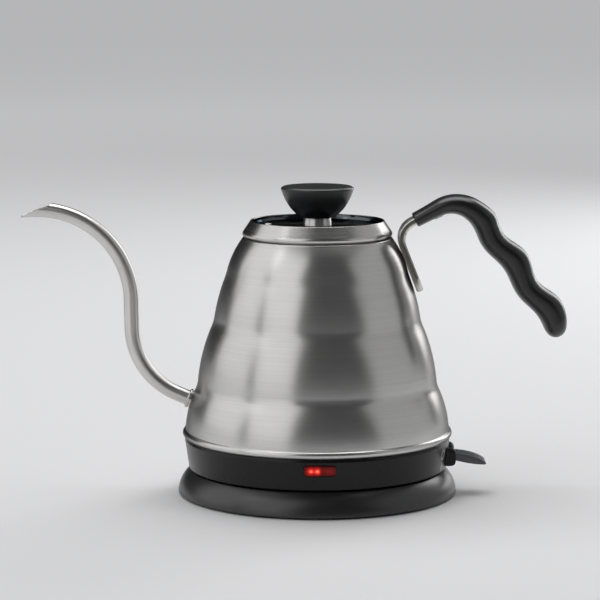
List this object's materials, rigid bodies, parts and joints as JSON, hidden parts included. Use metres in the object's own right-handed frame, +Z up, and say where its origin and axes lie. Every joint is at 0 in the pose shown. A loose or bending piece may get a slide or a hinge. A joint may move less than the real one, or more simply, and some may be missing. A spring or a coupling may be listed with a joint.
{
  "type": "gooseneck kettle",
  "caption": "Electric gooseneck pouring kettle with a tiered steel vessel, a thin curved spout, a wavy open grip and a lift-off lid, on a round cordless power base.",
  "frame": {"origin": "on the floor at the vessel's vertical axis, the centre of the base's foot ring", "axes": "+Z up; +X towards the handle, -X along the spout; -Y is the side with the lamp window"},
  "size_m": [0.2871, 0.147, 0.1625],
  "materials": {
    "brushed_steel": "brushed round the vessel, satin",
    "lid_steel": "satin edge, polished dish",
    "polished_steel": "smooth pressed strip, half polished",
    "inner_steel": "dull inner finish",
    "zinc_steel": "bright plated",
    "element_sheath": "oxidised sheath",
    "aluminium": "cast, dull",
    "brass": "bright contact metal",
    "base_black": "fine satin moulding",
    "housing_black": "smooth satin moulding",
    "grip_black": "semi-gloss moulding",
    "knob_black": "satin moulding",
    "lever_grey": "grey satin moulding",
    "nylon": "natural nylon",
    "rubber": "soft, dull",
    "wire_sleeve": "silicone sleeve",
    "red_lens": "clear red window",
    "lamp_glass": "lit glow lamp"
  },
  "bodies": {
    "power_base": {"base_foot_ring": "rubber", "base_plate": "base_black", "base_screws": "zinc_steel", "base_shell": "base_black", "base_connector": "nylon", "base_contacts": "brass", "base_wires": "wire_sleeve", "cord_gland": "rubber"},
    "coupler": {"coupler_disc": "nylon", "coupler_contacts": "brass"},
    "kettle": {"coupler_retainer": "nylon", "control_unit": "nylon", "snap_discs": "brass", "heat_spreader": "aluminium", "heating_element": "element_sheath", "element_pins": "zinc_steel", "vessel_floor": "inner_steel", "floor_studs": "zinc_steel", "housing_bottom": "housing_black", "housing_screws": "zinc_steel", "housing_band": "housing_black", "body_gasket": "rubber", "lamp_lens": "red_lens", "glow_lamp": "lamp_glass", "lamp_holder": "nylon", "steam_switch": "nylon", "lever_pin": "zinc_steel", "body_shell": "brushed_steel", "steam_tube": "inner_steel", "spout_tube": "brushed_steel", "spout_ferrule": "brushed_steel", "handle_bracket": "polished_steel", "handle_grip": "grip_black", "grip_screws": "zinc_steel"},
    "lever": {"switch_lever": "lever_grey"},
    "lid": {"lid_cover": "lid_steel", "lid_skirt": "inner_steel", "lid_collar": "brushed_steel", "lid_knob": "knob_black", "knob_insert": "brass", "knob_screw": "zinc_steel", "knob_washer": "zinc_steel"}
  },
  "joints": [
    {"name": "kettle_lift", "type": "slide", "parent": "power_base", "child": "coupler", "axis": [0, 0, 1], "range_m": [0, 0.05]},
    {"name": "kettle_turn", "type": "hinge", "parent": "coupler", "child": "kettle", "pos_m": [0, 0, 0.0257], "axis": [0, 0, 1], "continuous": true},
    {"name": "lid_lift", "type": "slide", "parent": "kettle", "child": "lid", "axis": [0, 0, 1], "range_m": [0, 0.06]},
    {"name": "lever_tip", "type": "hinge", "parent": "kettle", "child": "lever", "pos_m": [0.0698, 0, 0.0194], "axis": [0, -1, 0], "range_deg": [0, 14]}
  ]
}
